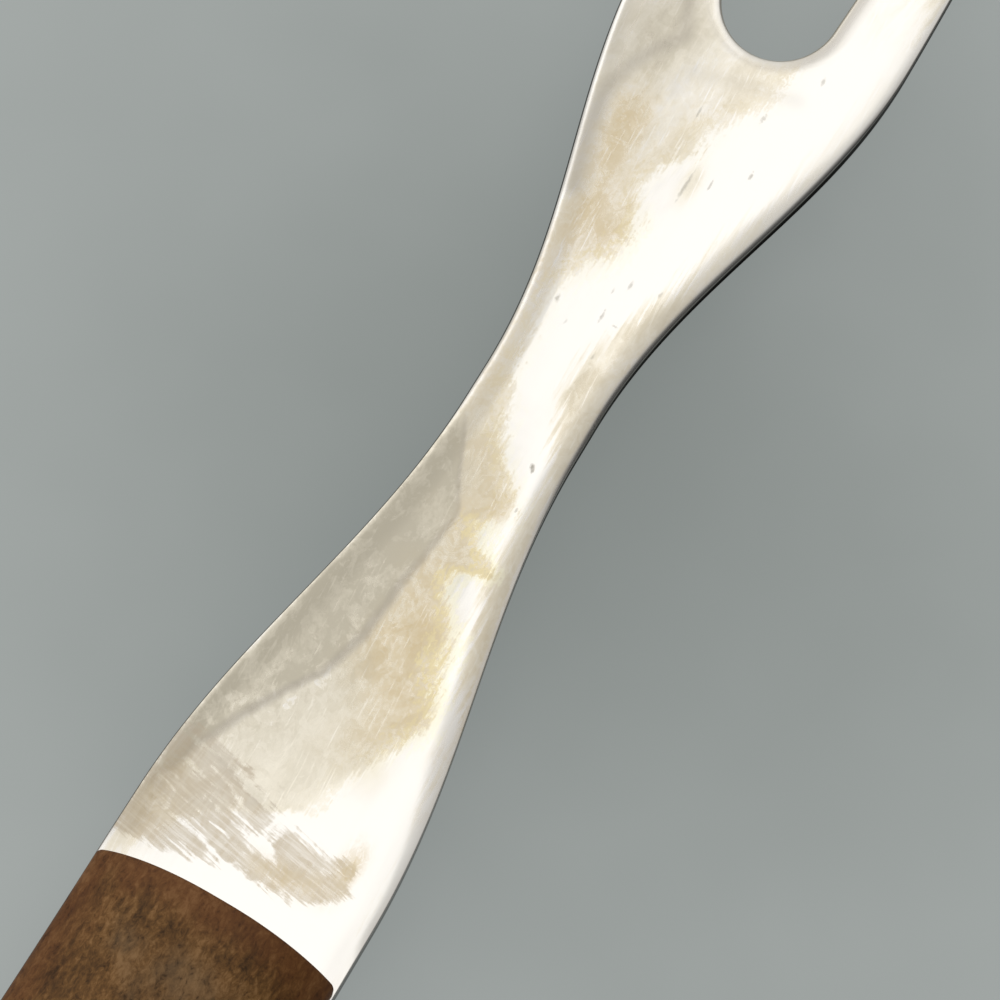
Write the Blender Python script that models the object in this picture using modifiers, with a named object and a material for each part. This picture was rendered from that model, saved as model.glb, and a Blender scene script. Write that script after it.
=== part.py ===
"""A two-tined meat fork: a forged blade with a full tang, two wooden scales and three two-piece rivets.

Metres, +Z up. The fork lies along X with its tines at +X, and rests on the crown of its back scale.
"""

import math

import bmesh
import bpy

# Lengths along the fork
HANDLE_LENGTH = 0.1057
SHANK_LENGTH = 0.0867
TINE_LENGTH = 0.0576

# Outline of the blade
BUTT_WIDTH = 0.009
BUTT_ROUND = 0.010
HANDLE_WIDTH = 0.0234
HANDLE_SWELL = 0.068
JOINT_WIDTH = 0.0214
SHOULDER_STRAIGHT = 0.005
NECK_DISTANCE = 0.049
NECK_STRAIGHT = 0.0032
NECK_WIDTH = 0.0104
HEAD_WIDTH = 0.0246
TINE_GAP = 0.0102
CROTCH_DEPTH = 0.0058
TIP_SPREAD = 0.0172
TIP_WIDTH = 0.0020
TIP_ROUND = 0.0016
TIP_FLAT = 0.0007

# Section of the blade
BLADE_THICKNESS = 0.0028
EDGE_THICKNESS = 0.0020
TIP_THICKNESS = 0.0016
EDGE_FALL = 0.0026
EXPOSED_RUN = 0.008
BLADE_BEVEL = 0.0004
TINE_RISE = 0.008
RISE_LEAD = 0.006

# Wooden scales
SCALE_CROWN = 0.0065
SCALE_EDGE = 0.0014
SCALE_INSET = 0.0002
CROWN_FLAT = 0.0022
CROWN_RUN = 0.014
SCALE_BEVEL = 0.0005
GLUE_GAP = 0.0002

# Rivets, a tube half from the front and a pin half from the back
RIVET_NAMES = ("rear", "middle", "front")
RIVET_MARGIN = 0.017
RIVET_HEAD = 0.0050
RIVET_HEAD_HEIGHT = 0.0010
TUBE_DIAMETER = 0.0036
TUBE_BORE = 0.0024
BORE_ROOF = 0.0020
PIN_DIAMETER = 0.0020
RIVET_CLEARANCE = 0.0002
CUTTER_OVERRUN = 0.002

# Facets
BUTT_STEPS = 6
HANDLE_STEPS = 8
SHANK_STEPS = 22
THROAT_STEPS = 4
ARC_STEPS = 6
TINE_STEPS = 11
TIP_STEPS = 4
BLADE_COLUMNS = (0.0, 0.12, 0.36, 0.64, 0.88, 1.0)
SCALE_STEPS = 10
DOME_STEPS = 6
ROUND_STEPS = 24
MERGE = 0.00001
SHARP = math.radians(40)

# Stations along X and levels along Z
TOTAL_LENGTH = HANDLE_LENGTH + SHANK_LENGTH + TINE_LENGTH
BUTT_X = -TOTAL_LENGTH / 2
JOINT_X = BUTT_X + HANDLE_LENGTH
SWELL_X = JOINT_X - HANDLE_SWELL
NECK_X = JOINT_X + NECK_DISTANCE
CROTCH_X = JOINT_X + SHANK_LENGTH
CROOK_X = CROTCH_X + CROTCH_DEPTH
TIP_X = CROTCH_X + TINE_LENGTH
RISE_X = CROTCH_X - RISE_LEAD
BLADE_Z = SCALE_CROWN + GLUE_GAP + BLADE_THICKNESS / 2
TOP_Z = 2 * BLADE_Z


def clamp(value):
    return min(max(value, 0.0), 1.0)


def ease(start, end, share):
    """A cosine blend, flat at both ends."""
    return start + (end - start) * (0.5 - 0.5 * math.cos(math.pi * clamp(share)))


def between(x, start, end):
    return clamp((x - start) / (end - start))


def rounded(x, end, run):
    """How much of its full width a rounded end has at x: a quarter ellipse from 0 at the end to 1."""
    share = 1 - clamp(abs(x - end) / run)
    return math.sqrt(1 - share * share)


def half_width(x):
    """Outer edge of the blade at x, measured from the axis."""
    if x < BUTT_X + BUTT_ROUND:
        return BUTT_WIDTH / 2 + (HANDLE_WIDTH - BUTT_WIDTH) / 2 * rounded(x, BUTT_X, BUTT_ROUND)
    if x < JOINT_X:
        return ease(HANDLE_WIDTH, JOINT_WIDTH, between(x, SWELL_X, JOINT_X)) / 2
    if x < NECK_X:
        start = JOINT_X + SHOULDER_STRAIGHT
        return ease(JOINT_WIDTH, NECK_WIDTH, between(x, start, NECK_X - NECK_STRAIGHT / 2)) / 2
    if x < CROOK_X:
        start = NECK_X + NECK_STRAIGHT / 2
        return ease(NECK_WIDTH, HEAD_WIDTH, between(x, start, CROOK_X)) / 2
    share = between(x, CROOK_X, TIP_X)
    return (HEAD_WIDTH + (TIP_SPREAD + TIP_WIDTH - HEAD_WIDTH) * share * share) / 2


def gap_half_width(x):
    """Inner edge of a tine at x, past the round of the crotch."""
    return (TINE_GAP + (TIP_SPREAD - TIP_WIDTH - TINE_GAP) * between(x, CROOK_X, TIP_X)) / 2


def tine_edges(x):
    """Inner and outer edge of a tine at x, drawn together at its rounded tip."""
    inner = gap_half_width(x)
    outer = half_width(x)
    middle = (inner + outer) / 2
    half = max((outer - inner) / 2 * rounded(x, TIP_X, TIP_ROUND), TIP_FLAT / 2)
    return middle - half, middle + half


def blade_rows():
    """Pairs of points (inner edge, outer edge) down one half of the blade, from butt to tip."""
    rows = []

    def straight_row(x):
        rows.append(((x, 0.0), (x, half_width(x))))

    for step in range(BUTT_STEPS):
        angle = math.pi / 2 * step / BUTT_STEPS
        straight_row(BUTT_X + BUTT_ROUND * (1 - math.cos(angle)))
    for step in range(HANDLE_STEPS):
        start = BUTT_X + BUTT_ROUND
        straight_row(start + (JOINT_X - start) * step / HANDLE_STEPS)
    throat_x = CROTCH_X - TINE_GAP
    for step in range(SHANK_STEPS):
        straight_row(JOINT_X + (throat_x - JOINT_X) * step / SHANK_STEPS)

    # Round the crotch the rows fan out: evenly by length on the inner edge, evenly by X on the outer one
    inner = [(throat_x + TINE_GAP * step / THROAT_STEPS, 0.0) for step in range(THROAT_STEPS)]
    for step in range(ARC_STEPS):
        angle = math.pi / 2 * step / ARC_STEPS
        inner.append((CROOK_X - CROTCH_DEPTH * math.cos(angle), TINE_GAP / 2 * math.sin(angle)))
    fan_end = CROOK_X + TINE_GAP
    for step in range(THROAT_STEPS + 1):
        x = CROOK_X + TINE_GAP * step / THROAT_STEPS
        inner.append((x, gap_half_width(x)))
    for index, point in enumerate(inner):
        x = throat_x + (fan_end - throat_x) * index / (len(inner) - 1)
        rows.append((point, (x, half_width(x))))

    tip_start = TIP_X - TIP_ROUND
    stations = [fan_end + (tip_start - fan_end) * step / TINE_STEPS for step in range(1, TINE_STEPS)]
    for step in range(TIP_STEPS + 1):
        stations.append(tip_start + TIP_ROUND * math.sin(math.pi / 2 * step / TIP_STEPS))
    for x in stations:
        edge_in, edge_out = tine_edges(x)
        rows.append(((x, edge_in), (x, edge_out)))
    return rows


def blade_height(x):
    """Mid-plane of the blade: flat to the crotch, then the tines curve up."""
    share = between(x, RISE_X, TIP_X)
    return BLADE_Z + TINE_RISE * share * share


def blade_thickness(x, y):
    """Full on the tang, thinner towards the exposed edges and the tips."""
    full = ease(BLADE_THICKNESS, TIP_THICKNESS, between(x, CROTCH_X, TIP_X))
    if x < CROOK_X:
        from_gap = math.hypot((x - CROOK_X) * TINE_GAP / 2 / CROTCH_DEPTH, y) - TINE_GAP / 2
    else:
        from_gap = y - gap_half_width(x)
    from_edge = min(from_gap, half_width(x) - y)
    exposed = ease(0.0, 1.0, between(x, JOINT_X, JOINT_X + EXPOSED_RUN))
    thin = exposed * (1 - EDGE_THICKNESS / BLADE_THICKNESS)
    return full * (1 - ease(thin, 0.0, from_edge / EDGE_FALL))


def mapped_sheet(name, row_count, column_count, place):
    """An open half sheet: a grid whose corner (row, column) goes to place(row, column)."""
    mesh = bpy.data.meshes.new(name)
    work = bmesh.new()
    bmesh.ops.create_grid(work, x_segments=row_count - 1, y_segments=column_count - 1, size=1.0)
    for vertex in work.verts:
        row = round((vertex.co.x + 1) / 2 * (row_count - 1))
        column = round((vertex.co.y + 1) / 2 * (column_count - 1))
        vertex.co = place(row, column)
    bmesh.ops.recalc_face_normals(work, faces=work.faces)
    if sum(face.normal.z for face in work.faces) < 0:
        bmesh.ops.reverse_faces(work, faces=work.faces)
    work.to_mesh(mesh)
    work.free()
    return mesh


def add_part(name, mesh, material):
    part = bpy.data.objects.new(name, mesh)
    parts.objects.link(part)
    if not mesh.materials:
        mesh.materials.append(material)
    return part


def thicken(part, thickness, offset, local_thickness):
    """Mirror the half sheet and give it its thickness, point by point."""
    group = part.vertex_groups.new(name="thickness")
    for vertex in part.data.vertices:
        group.add([vertex.index], local_thickness(vertex.co.x, vertex.co.y) / thickness, "REPLACE")
    mirror = part.modifiers.new("mirror", "MIRROR")
    mirror.use_axis = (False, True, False)
    mirror.merge_threshold = MERGE
    solid = part.modifiers.new("thickness", "SOLIDIFY")
    solid.thickness = thickness
    solid.offset = offset
    solid.vertex_group = group.name
    solid.thickness_vertex_group = 0.0


def round_edges(part, width):
    bevel = part.modifiers.new("rounded_edges", "BEVEL")
    bevel.width = width
    bevel.segments = 2
    bevel.limit_method = "ANGLE"
    bevel.angle_limit = SHARP


def cut_rivet_holes(part):
    for cutter in rivet_cutters:
        cut = part.modifiers.new(cutter.name, "BOOLEAN")
        cut.operation = "DIFFERENCE"
        cut.solver = "EXACT"
        cut.object = cutter


def turned(name, profile):
    """A turned mesh object from (radius, height) points that run down its outer side."""
    mesh = bpy.data.meshes.new(name)
    edges = [(index, index + 1) for index in range(len(profile) - 1)]
    mesh.from_pydata([(radius, 0.0, height) for radius, height in profile], edges, [])
    part = bpy.data.objects.new(name, mesh)
    screw = part.modifiers.new("turn", "SCREW")
    screw.steps = ROUND_STEPS
    screw.render_steps = ROUND_STEPS
    screw.use_merge_vertices = True
    screw.merge_threshold = MERGE
    # Half a facet of turn keeps the corners off the fork's axis, where the other meshes have their edges
    part.rotation_euler.z = math.pi / ROUND_STEPS
    return part


def surface(name, colour, roughness, metallic):
    material = bpy.data.materials.new(name)
    material.use_nodes = True
    shader = material.node_tree.nodes["Principled BSDF"]
    shader.inputs["Base Color"].default_value = (*colour, 1.0)
    shader.inputs["Roughness"].default_value = roughness
    shader.inputs["Metallic"].default_value = metallic
    return material


def rivet_stations():
    """X of each rivet, evenly from the butt's margin to the joint's."""
    first = BUTT_X + RIVET_MARGIN
    last = JOINT_X - RIVET_MARGIN
    count = len(RIVET_NAMES)
    return [first + (last - first) * index / (count - 1) for index in range(count)]


def make_rivet_cutters():
    hole = TUBE_DIAMETER / 2 + RIVET_CLEARANCE
    seat = RIVET_HEAD / 2 + RIVET_CLEARANCE
    depth = RIVET_HEAD_HEIGHT + RIVET_CLEARANCE
    profile = (
        (0.0, TOP_Z + CUTTER_OVERRUN),
        (seat, TOP_Z + CUTTER_OVERRUN),
        (seat, TOP_Z - depth),
        (hole, TOP_Z - depth),
        (hole, depth),
        (seat, depth),
        (seat, -CUTTER_OVERRUN),
        (0.0, -CUTTER_OVERRUN),
    )
    made = []
    for name, x in zip(RIVET_NAMES, rivet_stations()):
        cutter = turned(f"{name}_rivet_hole", profile)
        cutter.location.x = x
        cutter.hide_render = True
        cutter.display_type = "WIRE"
        cutters.objects.link(cutter)
        made.append(cutter)
    return made


def make_blade():
    rows = blade_rows()

    def place(row, column):
        (x_in, y_in), (x_out, y_out) = rows[row]
        share = BLADE_COLUMNS[column]
        x = x_in + (x_out - x_in) * share
        return x, y_in + (y_out - y_in) * share, blade_height(x)

    mesh = mapped_sheet("fork_blade", len(rows), len(BLADE_COLUMNS), place)
    blade = add_part("fork_blade", mesh, surface("polished_steel", (0.66, 0.64, 0.61), 0.25, 1.0))
    thicken(blade, BLADE_THICKNESS, 0.0, blade_thickness)
    round_edges(blade, BLADE_BEVEL)
    cut_rivet_holes(blade)


def scale_half_width(x):
    return half_width(x) - SCALE_INSET


def scale_stations():
    """X of each row of a scale: close together round the butt, even along the rest."""
    end = BUTT_X + SCALE_INSET
    stations = []
    for step in range(BUTT_STEPS):
        stations.append(end + CROWN_RUN * (1 - math.cos(math.pi / 2 * step / BUTT_STEPS)))
    start = end + CROWN_RUN
    for step in range(SCALE_STEPS + 1):
        stations.append(start + (JOINT_X - start) * step / SCALE_STEPS)
    return stations


def scale_height(x, y):
    """A flat land along the crown, a round arc down to each edge, and the crown falling to the butt."""
    rise = (SCALE_CROWN - SCALE_EDGE) * rounded(x, BUTT_X + SCALE_INSET, CROWN_RUN)
    reach = scale_half_width(x) - CROWN_FLAT / 2
    off_land = max(y - CROWN_FLAT / 2, 0.0)
    if rise < MERGE:
        return SCALE_EDGE
    radius = (reach * reach + rise * rise) / (2 * rise)
    return SCALE_EDGE + math.sqrt(radius * radius - off_land * off_land) - (radius - rise)


def make_scales():
    stations = scale_stations()

    def place(row, column):
        x = stations[row]
        if column == 0:
            return x, 0.0, 0.0
        reach = scale_half_width(x) - CROWN_FLAT / 2
        return x, CROWN_FLAT / 2 + reach * (column - 1) / DOME_STEPS, 0.0

    mesh = mapped_sheet("scale", len(stations), DOME_STEPS + 2, place)
    wood = surface("oiled_wood", (0.105, 0.048, 0.017), 0.55, 0.0)
    foot = BLADE_THICKNESS / 2 + GLUE_GAP
    for name, side in (("front_scale", 1), ("back_scale", -1)):
        scale = add_part(name, mesh, wood)
        scale.location.z = BLADE_Z + side * foot
        scale.rotation_euler.x = 0.0 if side > 0 else math.pi
        thicken(scale, SCALE_CROWN, 1.0, scale_height)
        round_edges(scale, SCALE_BEVEL)
        cut_rivet_holes(scale)


def make_rivets():
    head = RIVET_HEAD / 2
    bore_top = TOP_Z - RIVET_HEAD_HEIGHT - BORE_ROOF
    tube_end = RIVET_HEAD_HEIGHT + RIVET_CLEARANCE
    tube_profile = (
        (0.0, TOP_Z),
        (head, TOP_Z),
        (head, TOP_Z - RIVET_HEAD_HEIGHT),
        (TUBE_DIAMETER / 2, TOP_Z - RIVET_HEAD_HEIGHT),
        (TUBE_DIAMETER / 2, tube_end),
        (TUBE_BORE / 2, tube_end),
        (TUBE_BORE / 2, bore_top),
        (0.0, bore_top),
    )
    pin_profile = (
        (0.0, bore_top - RIVET_CLEARANCE),
        (PIN_DIAMETER / 2, bore_top - RIVET_CLEARANCE),
        (PIN_DIAMETER / 2, RIVET_HEAD_HEIGHT),
        (head, RIVET_HEAD_HEIGHT),
        (head, 0.0),
        (0.0, 0.0),
    )
    brass = surface("rivet_brass", (0.72, 0.52, 0.26), 0.35, 1.0)
    for name, x in zip(RIVET_NAMES, rivet_stations()):
        for half, profile in (("tube", tube_profile), ("pin", pin_profile)):
            rivet = turned(f"{name}_rivet_{half}", profile)
            rivet.location.x = x
            rivet.data.materials.append(brass)
            parts.objects.link(rivet)


for item in list(bpy.data.objects):
    bpy.data.objects.remove(item)
parts = bpy.data.collections.new("meat_fork")
cutters = bpy.data.collections.new("cutters")
bpy.context.scene.collection.children.link(parts)
bpy.context.scene.collection.children.link(cutters)
rivet_cutters = make_rivet_cutters()
make_blade()
make_scales()
make_rivets()
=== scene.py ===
"""Looks of the meat fork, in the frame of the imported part: worn steel, oiled wood and brass rivets."""

import math
from types import SimpleNamespace

import bmesh
import bpy
import numpy as np
from mathutils import Matrix, Vector, noise


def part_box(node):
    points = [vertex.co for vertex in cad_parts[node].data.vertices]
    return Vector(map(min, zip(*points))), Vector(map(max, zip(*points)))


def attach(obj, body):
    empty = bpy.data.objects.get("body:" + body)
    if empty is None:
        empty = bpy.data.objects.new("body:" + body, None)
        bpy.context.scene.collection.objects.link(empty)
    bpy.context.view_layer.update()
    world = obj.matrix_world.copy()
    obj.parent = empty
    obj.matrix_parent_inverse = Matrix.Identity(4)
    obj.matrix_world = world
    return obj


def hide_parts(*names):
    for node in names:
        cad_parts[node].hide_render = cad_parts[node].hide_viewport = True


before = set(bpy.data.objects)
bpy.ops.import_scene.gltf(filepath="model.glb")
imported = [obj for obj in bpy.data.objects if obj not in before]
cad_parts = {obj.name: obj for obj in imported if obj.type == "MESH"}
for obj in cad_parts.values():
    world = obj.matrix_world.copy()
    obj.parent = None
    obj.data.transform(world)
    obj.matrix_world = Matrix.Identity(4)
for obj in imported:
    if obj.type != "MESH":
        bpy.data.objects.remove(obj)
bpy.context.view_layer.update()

# Stations and levels from the frame
BLADE_LOW, BLADE_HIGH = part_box("fork_blade")
SCALE_LOW, SCALE_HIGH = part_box("front_scale")
BUTT_X = BLADE_LOW.x
JOINT_X = SCALE_HIGH.x
TIP_X = -BUTT_X
HEAD_WIDTH = BLADE_HIGH.y - BLADE_LOW.y
BLADE_THICKNESS = 0.0028
BLADE_Z = BLADE_LOW.z + BLADE_THICKNESS / 2
TOP_Z = 2 * BLADE_Z
SCALE_INSET = SCALE_LOW.x - BUTT_X
SCALE_CROWN = SCALE_HIGH.z - SCALE_LOW.z

# Outline of the blade
SHANK_LENGTH = 0.0867
BUTT_WIDTH = 0.009
BUTT_ROUND = 0.01
HANDLE_WIDTH = 2 * (SCALE_HIGH.y + SCALE_INSET)
HANDLE_SWELL = 0.068
JOINT_WIDTH = 0.0214
SHOULDER_STRAIGHT = 0.005
NECK_DISTANCE = 0.049
NECK_STRAIGHT = 0.0032
NECK_WIDTH = 0.0104
TINE_GAP = 0.0102
CROTCH_DEPTH = 0.0058
TIP_SPREAD = 0.0172
TIP_WIDTH = 0.002
TIP_ROUND = 0.0016
TIP_FLAT = 0.0003
SWELL_X = JOINT_X - HANDLE_SWELL
NECK_X = JOINT_X + NECK_DISTANCE
CROTCH_X = JOINT_X + SHANK_LENGTH
CROOK_X = CROTCH_X + CROTCH_DEPTH

# Section of the blade
EDGE_THICKNESS = 0.002
TIP_THICKNESS = 0.0016
EDGE_FALL = 0.0026
GAP_FALL = 0.0011
GAP_THIN = 0.13
GAP_RADIUS = 0.0003
SHOULDER_FALL = 0.001
FALL_LEAD = 0.006
FALL_RUN = 0.018
HEAD_FALL = 0.0014
HEAD_LEAD = 0.07
BLADE_CROWN = 0.00012
EDGE_RADIUS = 0.00012
FACET_WIDTH = 0.0005
FACET_SLOPE = 0.75
FACET_START = 0.036
FACET_RUN = 0.018
FACET_END = 0.078
WALL_SHARES = (0.0, 0.1, 0.9, 1.0)
# Places of the columns next to an edge, in millimetres from it
EDGE_STEPS = (
    0.0, 0.015, 0.05, 0.09, 0.13, 0.18, 0.24, 0.31, 0.39, 0.5, 0.68, 0.95, 1.3, 1.75, 2.15,
)
TINE_RISE = 0.008
RISE_LEAD = 0.006
RISE_X = CROTCH_X - RISE_LEAD
TINY = 1e-9

# Rows of points along the blade, from butt to tip, and columns across each half of it
BUTT_ROWS = 28
TANG_ROWS = 46
SHANK_LEAD = 0.004
SHANK_ROWS = 220
THROAT_ROWS = 25
CROTCH_ROWS = 26
FAN_ROWS = 24
TINE_ROWS = 84
TIP_ROWS = 14
MIDDLE_COLUMNS = 16
BORDER_SHARE = 0.42
MERGE_DISTANCE = 1e-7
BLADE_CREASE = 50

# Section of a scale
SCALE_EDGE = 0.0014
CROWN_FLAT = 0.0022
CROWN_RUN = 0.014
SCALE_ROUND = 0.00035
SCALE_CORNER = 0.0004
SCALE_RIPPLE = 0.00006
RIPPLE_LEAD = 0.003
LONG_WAVE = (140, 190, 7.0)
SHORT_WAVE = (420, 520, 3.0)
FRONT_SET = 0.00015
FRONT_ARC = 0.00034
FRONT_RUN = 0.004
LEAST_RISE = 1e-5
SCALE_BUTT_ROWS = 30
SCALE_ROWS = 90
SCALE_FRONT_ROWS = 14
SCALE_COLUMNS = 40
SCALE_BORDER = 0.0012
BORDER_COLUMNS = 9
RIM_REACH = 0.0032
CREASE = 40

# Rivets
RIVET_NAMES = ("rear", "middle", "front")
HEAD_HEIGHT = 0.001
HEAD_ROUND = 0.00012
SHANK_RADIUS = 0.0018
BORE_RADIUS = 0.0012
HEAD_CLEARANCE = 0.00004
HEAD_FLAT = 0.6
HEAD_STEPS = 6
PIN_RADIUS = 0.001
PIN_SPARE = 0.0002
TURN_STEPS = 96

# Marks on the upper face of the blade, placed by (millimetres ahead of the joint, millimetres to the left)
MM = 0.001
LINE_REACH = 100.0
LINE_SPREAD = 40.0
# Painted shade: a dark line that stands in for the edge of a reflection across the shoulder
CONTOUR_SHADE_LINE = (
    (0, 11.0), (6.3, 9.8), (10.5, 8.6), (14.5, 6.9), (18, 5.0), (21, 3.1), (24.9, 2.0),
    (30.5, 1.5), (35.3, 0.9), (38, 0.7), (41.7, 2.6), (45.5, 4.2), (50, 7.0),
)
# Faint dark lines: painted shade on the head and beside the crotch, and one dark grime stroke on the shoulder
# (the last)
SHADE_AND_GRIME_LINES = (
    # points of a line, reach, strength
    (((68, 6.9), (73, 8.3), (76.5, 8.8), (80, 8.2), (83, 6.8), (84.9, 5.5), (88, 6.8)), 0.8, 0.75),
    (((82.4, 3.0), (83.4, 0.0), (84.1, -3.0), (84.7, -5.4)), 0.8, 0.25),
    (((81, 9.6), (89, 8.2)), 2.4, 0.25),
    (((11.2, 8.0), (10.4, 5.2), (9.4, 1.6)), 0.4, 0.25),
)
# The left and the right side of the clean streak
CLEAN_TOP = (
    (0, 9.6), (1.5, 9.0), (3.2, 8.0), (6, 6.0), (8.5, 2.0), (10.5, -1.5), (14, -2.8),
    (17, -4.2), (19, -5.4), (21.5, -6.2), (24.5, -4.9), (26.2, -4.2), (27.5, -4.3), (29.8, -3.5),
    (31.2, -2.2), (32.4, -1.7), (33.5, -2.1), (34.4, -3.6), (35.4, -3.6), (36.3, -2.0), (37.4, -1.2),
    (38.5, -1.7), (39.6, -2.9), (41.4, -2.7), (42.8, -1.7), (43.8, -0.6), (44.6, 0.1), (46, 0.9),
    (48, 1.8), (50, 2.2), (54, 3.0), (57.5, 4.0), (60, 3.5), (62.5, 2.4), (64.5, 0.9),
    (67, 0.3), (69, 1.4), (71, 2.2), (73, 1.4), (75.5, -0.8), (78, -0.5), (80, -1.5),
    (83, -3.6), (89, -4.6),
)
CLEAN_LOW = (
    (0, -10.4), (10, -10.2), (16, -9.3), (21, -8.6), (24.5, -7.5), (30, -5.3), (32, -4.7),
    (34, -4.1), (38, -4.3), (40, -4.3), (44, -4.4), (46, -3.5), (48.5, -2.4), (51, -1.4),
    (55, -1.6), (58, -2.6), (61, -3.7), (64.6, -5.1), (75.3, -8.0), (86, -10.5), (92, -11.4),
)
# Strength along the blade of the film, the brown stain and the golden glow, which is a painted highlight. TOP
# is left of the clean streak, LOW is right of it.
FILM_TOP = (
    (0, 0.3), (8, 0.38), (14, 0.38), (20, 0.48), (30, 0.5), (40, 0.52), (46, 0.38),
    (52, 0.16), (60, 0.12), (66, 0.22), (75, 0.28), (80, 0.2), (90, 0.26),
)
STAIN_TOP = (
    (0, 0.0), (14, 0.0), (18, 0.3), (22, 0.6), (26, 0.8), (29, 1.0), (32, 0.75),
    (38, 0.6), (43, 0.45), (46, 0.28), (56, 0.22), (62, 0.32), (66, 0.58), (69, 0.4),
    (76, 0.2), (90, 0.1),
)
FILM_LOW = (
    (0, 0.15), (14, 0.15), (20, 0.24), (34, 0.38), (44, 0.34), (52, 0.34), (60, 0.32),
    (70, 0.22), (80, 0.12), (90, 0.08),
)
STAIN_LOW = (
    (0, 0.05), (14, 0.05), (18, 0.25), (23, 0.5), (27, 0.25), (34, 0.25), (44, 0.1),
    (52, 0.2), (60, 0.12), (70, 0.05), (90, 0.0),
)
FRINGE_HIGHLIGHT_LEVEL = (
    (0, 0.0), (16, 0.1), (19, 0.5), (23, 1.0), (38, 1.0), (39.2, 0.3), (41.5, 0.3),
    (44, 0.4), (47, 0.25), (56, 0.2), (63, 0.4), (67, 0.5), (70, 0.2), (90, 0.1),
)
# Blots of film, of stain and of places rubbed bare in the scrub strokes, each as
# (ahead, left, reach along, reach across, strength)
FILMS = (
    (9, 9.2, 6.0, 1.8, 0.3),
    (18, 8.2, 5.0, 2.0, -0.12),
    (16, -4.0, 2.0, 1.5, 0.25),
    (53, -1.9, 3.0, 0.9, 0.2),
    (73, -1.4, 1.8, 0.7, 0.35),
    (24, 1.0, 2.5, 1.2, 0.12),
    (40, 1.9, 2.5, 0.9, 0.15),
    # This blot darkens the grey painted shade on the head
    (83.5, 7.6, 4.5, 2.4, 0.42),
    (84, 4.8, 3.0, 2.6, 0.3),
)
STAINS = (
    (5.5, 9.0, 4.0, 1.6, 0.4),
    (5.1, -2.6, 0.9, 2.6, 0.75),
    (5.8, -5.0, 1.0, 1.1, 0.55),
    (8.3, -6.6, 1.8, 0.8, 1.2),
    (19.5, -3.0, 2.0, 1.5, 0.4),
    (24, -1.8, 2.6, 2.0, 0.5),
    (28.5, -0.7, 2.8, 1.7, 0.5),
    (22.3, -4.8, 2.0, 1.4, 0.7),
    (28.3, -3.0, 1.8, 1.1, 0.85),
    (20, -7.8, 1.5, 0.7, 0.3),
    (40, -2.0, 1.4, 0.7, 1.1),
    (28.5, -1.9, 1.6, 1.2, 0.4),
    (48, 3.8, 4.0, 1.0, 0.12),
    (24, 0.6, 3.0, 1.8, 0.3),
    (26, 0.6, 1.6, 1.0, 0.5),
    (22.4, -2.4, 1.3, 1.0, 0.5),
    (25.2, -3.0, 0.8, 0.6, -0.35),
    (60, 5.2, 6.0, 1.2, 0.15),
    (66, 2.6, 2.8, 1.6, 0.35),
    (66.5, 5.0, 2.5, 1.2, 0.55),
    (67.2, 3.0, 0.8, 0.5, -0.35),
    (75, 6.4, 3.4, 1.4, 0.95),
    (75.8, 4.6, 2.2, 0.9, 0.35),
    (71, 5.5, 3.0, 1.4, 0.35),
)
RUBBED = (
    (6.6, 0.4, 0.9, 1.8, 0.45),
    (9.8, -2.6, 0.9, 2.4, 0.3),
    (4.8, 5.2, 0.5, 1.6, 0.3),
    (7.2, 6.0, 0.5, 1.4, 0.3),
    (8.4, -6.6, 1.5, 0.9, -0.6),
)
# Dents, painted as dark shade since the mesh is not dented there, as (ahead, left, half its length, half its
# width, darkness)
NICKS = (
    (44.5, -2.5, 0.32, 0.22, 0.9),
    (44.25, -2.66, 0.3, 0.14, 0.8),
    (40.6, -3.2, 0.26, 0.13, 0.5),
    (55.4, -2.0, 0.26, 0.15, 0.4),
    (57, 1.4, 0.32, 0.14, 0.25),
    (58.5, 3.0, 0.5, 0.22, 0.55),
    (58.7, -2.3, 0.12, 0.36, 0.35),
    (59, -0.9, 0.7, 0.15, 0.55),
    (61.3, -0.6, 0.36, 0.12, 0.35),
    (62.5, -1.6, 0.6, 0.16, 0.5),
    (63.2, -4.1, 0.4, 0.16, 0.4),
    (73, -1.15, 1.7, 0.17, 0.55),
    (74, -2.9, 0.7, 0.12, 0.5),
    (76.6, -5.4, 0.48, 0.2, 0.6),
    (79.3, 1.1, 0.8, 0.11, 0.45),
    (81.7, -3.8, 0.48, 0.2, 0.45),
    (87.4, -6.5, 0.45, 0.15, 0.5),
)
# The scrubbed strip, in millimetres: each pair is where one of its soft sides begins and ends
SCRUB_LEAN = 0.2
SCRUB_START = (2.6, 4.6)
SCRUB_END = (8.5, 12.5)
SCRUB_SIDE = (-9.4, -5.6)
SCRUB_CORNER = -4.5
SCRUB_CORNER_LEAN = 0.6
# How far the worn edges reach, which also carry painted edge shade, and how far the band of painted
# reflection and the line of painted shade beside the tines' gap reach
EDGE_WEAR_AND_SHADE_REACH = 0.00035
FALL_FULL = 0.0012
GAP_REFLECTION_REACH = 0.0008
GAP_LINE = 0.0011
GAP_LINE_REACH = 0.00025
GAP_LINE_STRENGTH = 0.4

# Colours
FILM_COLOURS = (
    (0.0, (0.665, 0.655, 0.64)),
    (0.25, (0.63, 0.6, 0.53)),
    (0.5, (0.545, 0.512, 0.435)),
    (1.0, (0.412, 0.384, 0.318)),
)
GRIME_COLOURS = ((0.45, 0.4, 0.325), (0.49, 0.45, 0.385))
STAIN_COLOUR = (0.52, 0.43, 0.278)
# Painted highlight around the clean streak: a pale halo and a golden fringe
HALO_HIGHLIGHT_COLOUR = (0.67, 0.65, 0.52)
FRINGE_HIGHLIGHT_COLOUR = (0.61, 0.535, 0.335)
# Painted reflection beside the tines' gap: greyer on its right side, paler on its left
GAP_REFLECTION_COLOURS = ((0.6, 0.565, 0.5), (0.8, 0.78, 0.73))
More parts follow.
